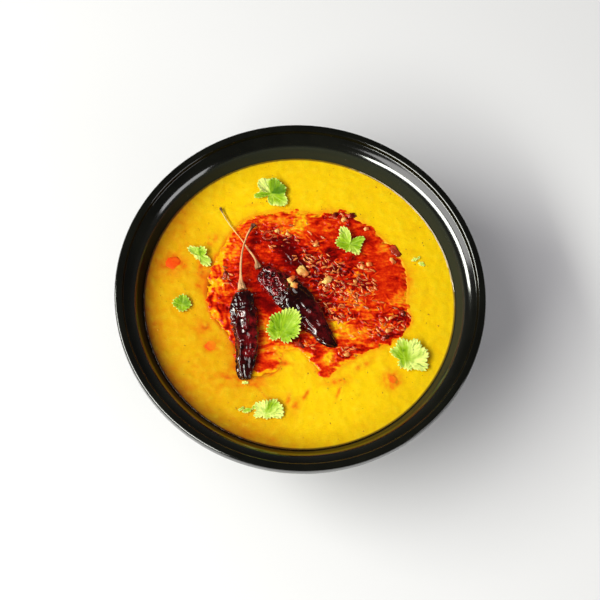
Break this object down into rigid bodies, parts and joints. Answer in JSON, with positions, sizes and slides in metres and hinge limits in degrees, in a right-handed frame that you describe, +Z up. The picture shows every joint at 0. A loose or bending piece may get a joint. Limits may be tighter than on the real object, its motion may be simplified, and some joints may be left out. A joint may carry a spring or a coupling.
{
  "type": "dal in a bowl",
  "caption": "Thick yellow lentil dal in a round black glazed bowl with a stepped rim, topped with red chilli oil, dried red chillies and coriander leaflets.",
  "frame": {"origin": "centre of the bowl's foot, on the surface it stands on", "axes": "+Z up; +Y from the tips of the chillies towards their stems; +X to the right of that"},
  "size_m": [0.2, 0.2, 0.066],
  "materials": {
    "black_glaze": "black semi-gloss glaze",
    "dal_yellow": "thick, moist, finely lumpy lentil soup",
    "chilli_oil": "red chilli oil with cumin seeds",
    "dried_chilli_skin": "wrinkled dark dried chilli skin wet with oil",
    "dried_stem": "dry straw-coloured stalk",
    "coriander_green": "fresh green leaf"
  },
  "bodies": {
    "root": {"bowl": "black_glaze", "dal": "dal_yellow", "tadka_oil": "chilli_oil", "chilli_left": "dried_chilli_skin", "chilli_left_stem": "dried_stem", "chilli_right": "dried_chilli_skin", "chilli_right_stem": "dried_stem", "leaf_top": "coriander_green", "leaf_upper_right": "coriander_green", "leaf_upper_left": "coriander_green", "leaf_left": "coriander_green", "leaf_centre": "coriander_green", "leaf_lower_right": "coriander_green", "leaf_bottom": "coriander_green"}
  },
  "joints": []
}
